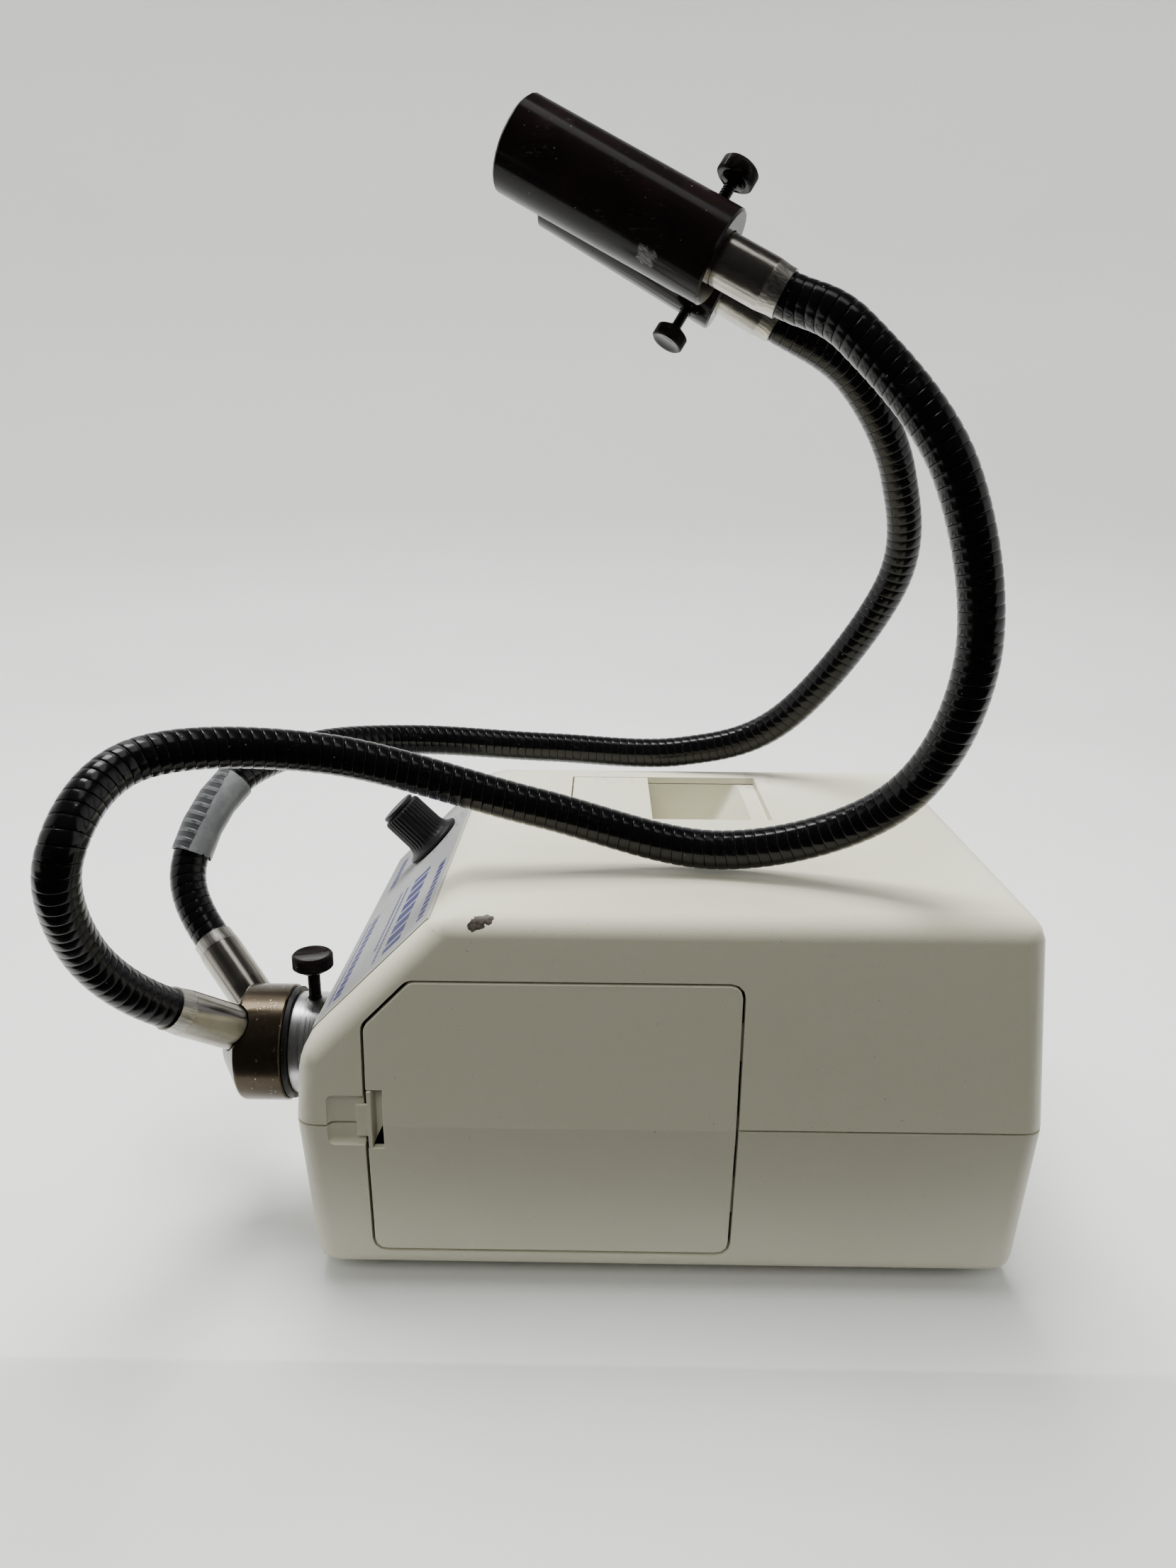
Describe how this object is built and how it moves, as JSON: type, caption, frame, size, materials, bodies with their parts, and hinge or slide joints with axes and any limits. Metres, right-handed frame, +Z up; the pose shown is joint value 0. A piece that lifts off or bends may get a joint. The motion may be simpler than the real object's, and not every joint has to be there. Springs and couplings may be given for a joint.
{
  "type": "fiber optic illuminator",
  "caption": "Benchtop cold-light source in an off-white housing, with black gooseneck light guides ending in focusing lens barrels.",
  "frame": {"origin": "the plane the feet stand on, under the middle of the whole object's bounding box", "axes": "+Z up, -Y towards the front panel and the light-guide head, +X towards the lamp door"},
  "size_m": [0.1888, 0.2768, 0.333],
  "materials": {
    "housing_plastic": "warm off-white, fine moulded texture",
    "label_film": "pale grey film with blue bands",
    "black_plastic": "satin black",
    "black_rubber": "matt black",
    "black_anodised": "glossy black anodised",
    "conduit_black": "glossy black sleeve on interlocked steel",
    "bronze_anodised": "brown-bronze anodised",
    "steel": "turned stainless",
    "aluminium": "bare turned",
    "sheet_steel": "plated sheet",
    "core_steel": "varnished laminations",
    "coil_wrap": "yellow winding tape",
    "circuit_board": "green solder mask",
    "ceramic": "white steatite",
    "glass": "clear",
    "reflector_glass": "dichroic reflector",
    "tape": "grey tape, blank",
    "switch_red": "translucent red"
  },
  "bodies": {
    "housing": {"upper_shell": "housing_plastic", "lower_shell": "housing_plastic", "handle_tub": "housing_plastic", "handle_plate": "housing_plastic", "front_label": "label_film", "front_left_foot": "black_rubber", "front_right_foot": "black_rubber", "rear_left_foot": "black_rubber", "rear_right_foot": "black_rubber", "rear_panel": "sheet_steel", "chassis_plate": "sheet_steel", "mains_inlet": "black_plastic", "switch_bezel": "black_plastic", "transformer_core": "core_steel", "transformer_coil": "coil_wrap", "control_board": "circuit_board", "heat_sink": "aluminium", "capacitor": "black_plastic", "potentiometer": "sheet_steel", "nosepiece": "aluminium", "lamp_reflector": "reflector_glass", "lamp_base": "ceramic", "lamp_socket": "ceramic", "lamp_bracket": "sheet_steel", "heat_filter": "glass", "filter_holder": "sheet_steel", "interlock_switch": "black_plastic", "fan_frame": "black_plastic"},
    "lamp_door": {"lamp_door": "housing_plastic"},
    "door_latch": {"door_latch": "housing_plastic"},
    "knob": {"intensity_knob": "black_plastic", "knob_cap": "black_plastic", "potentiometer_shaft": "aluminium"},
    "nosepiece_screw": {"nosepiece_screw": "black_anodised"},
    "light_guide": {"light_guide_head": "bronze_anodised", "head_ring": "black_plastic", "guide_tip": "steel", "near_lower_ferrule": "steel", "far_lower_ferrule": "steel", "near_arm_base": "conduit_black", "far_arm_base": "conduit_black", "tape_marker": "tape"},
    "fan_impeller": {"fan_impeller": "black_plastic"},
    "power_rocker": {"power_rocker": "switch_red"},
    "fuse_drawer": {"fuse_drawer": "black_plastic"},
    "near_span": {"near_arm_span": "conduit_black"},
    "near_loop": {"near_arm_loop": "conduit_black"},
    "near_tip": {"near_arm_tip": "conduit_black", "near_upper_ferrule": "steel"},
    "near_barrel": {"near_lens_barrel": "black_anodised", "near_lens": "glass"},
    "near_barrel_screw": {"near_barrel_screw": "black_anodised"},
    "far_span": {"far_arm_span": "conduit_black"},
    "far_loop": {"far_arm_loop": "conduit_black"},
    "far_tip": {"far_arm_tip": "conduit_black", "far_upper_ferrule": "steel"},
    "far_barrel": {"far_lens_barrel": "black_anodised", "far_lens": "glass"},
    "far_barrel_screw": {"far_barrel_screw": "black_anodised"}
  },
  "joints": [
    {"name": "door_swing", "type": "hinge", "parent": "housing", "child": "lamp_door", "pos_m": [0.07579, 0.05027, 0.055], "axis": [0, 0, 1], "range_deg": [0, 75]},
    {"name": "latch_slide", "type": "slide", "parent": "lamp_door", "child": "door_latch", "axis": [0, 1, 0], "range_m": [0, 0.0022], "stiffness_N_per_m": 300},
    {"name": "knob_turn", "type": "hinge", "parent": "housing", "child": "knob", "pos_m": [-0.03841, -0.05182, 0.10108], "axis": [0, -0.7071, 0.7071], "range_deg": [-150, 150]},
    {"name": "nosepiece_screw_turn", "type": "hinge", "parent": "housing", "child": "nosepiece_screw", "pos_m": [0.03359, -0.08063, 0.0785], "axis": [0, 0, 1], "range_deg": [0, 720]},
    {"name": "guide_pull", "type": "slide", "parent": "housing", "child": "light_guide", "axis": [0, -1, 0], "range_m": [0, 0.024]},
    {"name": "near_arm_lift", "type": "hinge", "parent": "light_guide", "child": "near_span", "pos_m": [0.06359, -0.11553, 0.1605], "axis": [1, 0, 0], "range_deg": [0, 20]},
    {"name": "near_arm_bend", "type": "hinge", "parent": "near_span", "child": "near_loop", "pos_m": [0.04759, 0.09447, 0.145], "axis": [1, 0, 0], "range_deg": [-15, 20]},
    {"name": "near_arm_aim", "type": "hinge", "parent": "near_loop", "child": "near_tip", "pos_m": [0.06009, 0.09947, 0.2365], "axis": [0, 0, 1], "range_deg": [-15, 15]},
    {"name": "near_focus", "type": "slide", "parent": "near_tip", "child": "near_barrel", "axis": [-0.2029, -0.8568, 0.4741], "range_m": [0, 0.01]},
    {"name": "near_barrel_screw_turn", "type": "hinge", "parent": "near_barrel", "child": "near_barrel_screw", "pos_m": [0.03512, 0.03389, 0.29327], "axis": [-0.2218, 0.5118, 0.83], "range_deg": [0, 720]},
    {"name": "far_arm_lift", "type": "hinge", "parent": "light_guide", "child": "far_span", "pos_m": [-0.05491, -0.10103, 0.1335], "axis": [1, 0, 0], "range_deg": [0, 20]},
    {"name": "far_arm_bend", "type": "hinge", "parent": "far_span", "child": "far_loop", "pos_m": [-0.07441, 0.08247, 0.1425], "axis": [1, 0, 0], "range_deg": [-15, 20]},
    {"name": "far_arm_aim", "type": "hinge", "parent": "far_loop", "child": "far_tip", "pos_m": [-0.04291, 0.11147, 0.2345], "axis": [0, 0, 1], "range_deg": [-15, 15]},
    {"name": "far_focus", "type": "slide", "parent": "far_tip", "child": "far_barrel", "axis": [-0.0977, -0.8603, 0.5004], "range_m": [0, 0.01]},
    {"name": "far_barrel_screw_turn", "type": "hinge", "parent": "far_barrel", "child": "far_barrel_screw", "pos_m": [-0.02981, 0.04205, 0.29483], "axis": [0.279, -0.5063, -0.816], "range_deg": [0, 720]},
    {"name": "fan_spin", "type": "hinge", "parent": "housing", "child": "fan_impeller", "pos_m": [0.02709, 0.11797, 0.0575], "axis": [0, 1, 0], "continuous": true},
    {"name": "rocker_tilt", "type": "hinge", "parent": "housing", "child": "power_rocker", "pos_m": [-0.05141, 0.12877, 0.0795], "axis": [0, 0, 1], "range_deg": [-12, 0]},
    {"name": "fuse_drawer_pull", "type": "slide", "parent": "housing", "child": "fuse_drawer", "axis": [0, 1, 0], "range_m": [0, 0.016]}
  ]
}
